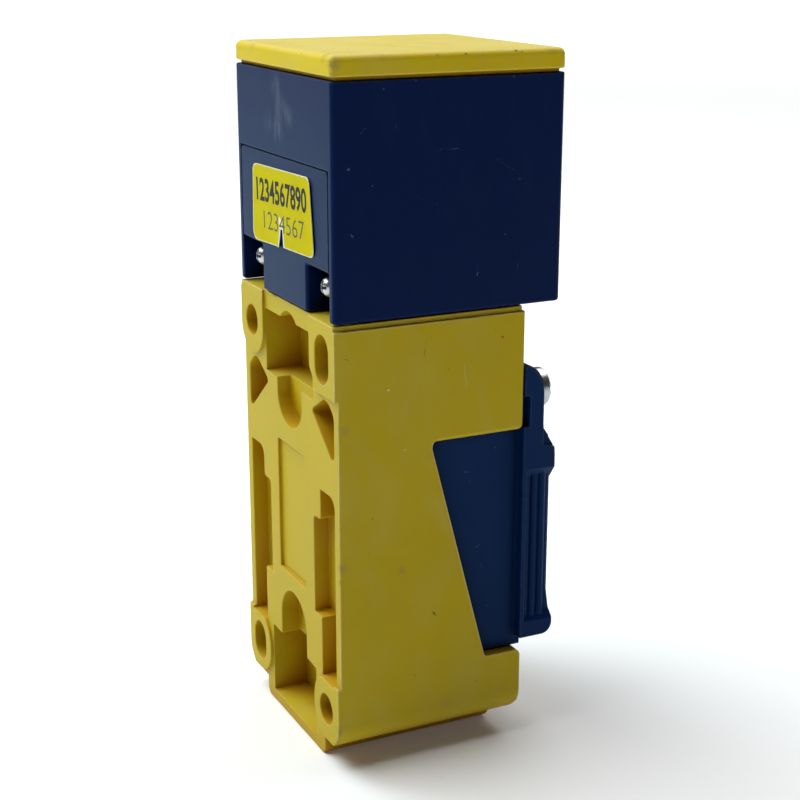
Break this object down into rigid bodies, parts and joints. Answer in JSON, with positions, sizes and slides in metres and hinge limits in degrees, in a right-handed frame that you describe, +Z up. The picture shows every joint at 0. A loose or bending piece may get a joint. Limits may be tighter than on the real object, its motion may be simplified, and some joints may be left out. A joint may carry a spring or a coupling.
{
  "type": "inductive proximity sensor",
  "caption": "Block-type inductive proximity sensor: a square sensing head that swivels on a base with slotted mounting holes, wiring terminals under a pull-off cover and a bottom cable inlet.",
  "frame": {"origin": "middle of the overall box, at the lower face of the cable inlet boss", "axes": "+Z up along the swivel axis towards the active face, -Y towards the mounting surface, +Y towards the terminal cover"},
  "size_m": [0.04, 0.0404, 0.1163],
  "materials": {
    "yellow_plastic": "moulded, fine matt texture, worn edges",
    "navy_plastic": "moulded, fine matt texture, pale scuffs",
    "screw_steel": "bright zinc plated",
    "spring_steel": "phosphated",
    "brass": "machined",
    "tinned_brass": "tinned",
    "label_paper": "satin print, torn edges",
    "seal_rubber": "moulded",
    "ferrite": "sintered, ground faces",
    "bobbin_plastic": "moulded",
    "copper_wire": "enamelled copper",
    "board_laminate": "solder resist",
    "component_black": "moulded",
    "component_tan": "chip parts",
    "potting_resin": "cast resin",
    "led_clear": "tinted, clear",
    "terminal_plastic": "moulded",
    "lead_insulation": "insulated lead"
  },
  "bodies": {
    "base": {"base_housing": "yellow_plastic", "thread_inserts": "brass", "terminal_block": "terminal_plastic", "terminal_busbars": "tinned_brass", "block_screws": "screw_steel", "connection_leads": "lead_insulation"},
    "head": {"head_shell": "navy_plastic", "active_face_cap": "yellow_plastic", "head_carrier": "navy_plastic", "swivel_seal": "seal_rubber", "retaining_ring": "spring_steel", "head_screws": "screw_steel", "paper_label": "label_paper", "ferrite_core": "ferrite", "coil_bobbin": "bobbin_plastic", "coil_winding": "copper_wire", "potting_layer": "potting_resin", "circuit_board": "board_laminate", "oscillator_chip": "component_black", "output_transistor": "component_black", "board_capacitors": "component_tan", "board_resistors": "component_black", "lead_socket": "component_black", "status_led": "led_clear", "led_window": "led_clear"},
    "cover": {"terminal_cover": "navy_plastic", "cover_gasket": "seal_rubber"},
    "left_screw": {"cover_screw_left": "screw_steel"},
    "right_screw": {"cover_screw_right": "screw_steel"},
    "clamp_screw_1": {"terminal_screw_1": "screw_steel"},
    "clamp_cage_1": {"terminal_cage_1": "tinned_brass"},
    "clamp_screw_2": {"terminal_screw_2": "screw_steel"},
    "clamp_cage_2": {"terminal_cage_2": "tinned_brass"},
    "clamp_screw_3": {"terminal_screw_3": "screw_steel"},
    "clamp_cage_3": {"terminal_cage_3": "tinned_brass"},
    "clamp_screw_4": {"terminal_screw_4": "screw_steel"},
    "clamp_cage_4": {"terminal_cage_4": "tinned_brass"}
  },
  "joints": [
    {"name": "head_swivel", "type": "hinge", "parent": "base", "child": "head", "pos_m": [0, -0.00045, 0.0759], "axis": [0, 0, 1], "range_deg": [-90, 180]},
    {"name": "cover_pull", "type": "slide", "parent": "base", "child": "cover", "axis": [0, 1, 0], "range_m": [0, 0.04]},
    {"name": "left_screw_turn", "type": "hinge", "parent": "cover", "child": "left_screw", "pos_m": [-0.0164, 0.01715, 0.0609], "axis": [0, 1, 0], "continuous": true},
    {"name": "right_screw_turn", "type": "hinge", "parent": "cover", "child": "right_screw", "pos_m": [0.0164, 0.01715, 0.0609], "axis": [0, 1, 0], "continuous": true},
    {"name": "clamp_screw_1_turn", "type": "hinge", "parent": "base", "child": "clamp_screw_1", "pos_m": [-0.0105, 0.00385, 0.043], "axis": [0, -1, 0], "range_deg": [0, 1440]},
    {"name": "clamp_cage_1_travel", "type": "slide", "parent": "base", "child": "clamp_cage_1", "axis": [0, 1, 0], "range_m": [0, 0.002]},
    {"name": "clamp_screw_2_turn", "type": "hinge", "parent": "base", "child": "clamp_screw_2", "pos_m": [-0.0035, 0.00385, 0.043], "axis": [0, -1, 0], "range_deg": [0, 1440]},
    {"name": "clamp_cage_2_travel", "type": "slide", "parent": "base", "child": "clamp_cage_2", "axis": [0, 1, 0], "range_m": [0, 0.002]},
    {"name": "clamp_screw_3_turn", "type": "hinge", "parent": "base", "child": "clamp_screw_3", "pos_m": [0.0035, 0.00385, 0.043], "axis": [0, -1, 0], "range_deg": [0, 1440]},
    {"name": "clamp_cage_3_travel", "type": "slide", "parent": "base", "child": "clamp_cage_3", "axis": [0, 1, 0], "range_m": [0, 0.002]},
    {"name": "clamp_screw_4_turn", "type": "hinge", "parent": "base", "child": "clamp_screw_4", "pos_m": [0.0105, 0.00385, 0.043], "axis": [0, -1, 0], "range_deg": [0, 1440]},
    {"name": "clamp_cage_4_travel", "type": "slide", "parent": "base", "child": "clamp_cage_4", "axis": [0, 1, 0], "range_m": [0, 0.002]}
  ],
  "couplings": [
    {"joint": "clamp_screw_1_turn", "follows": "clamp_cage_1_travel", "rad_per_m": 12566},
    {"joint": "clamp_screw_2_turn", "follows": "clamp_cage_2_travel", "rad_per_m": 12566},
    {"joint": "clamp_screw_3_turn", "follows": "clamp_cage_3_travel", "rad_per_m": 12566},
    {"joint": "clamp_screw_4_turn", "follows": "clamp_cage_4_travel", "rad_per_m": 12566}
  ]
}
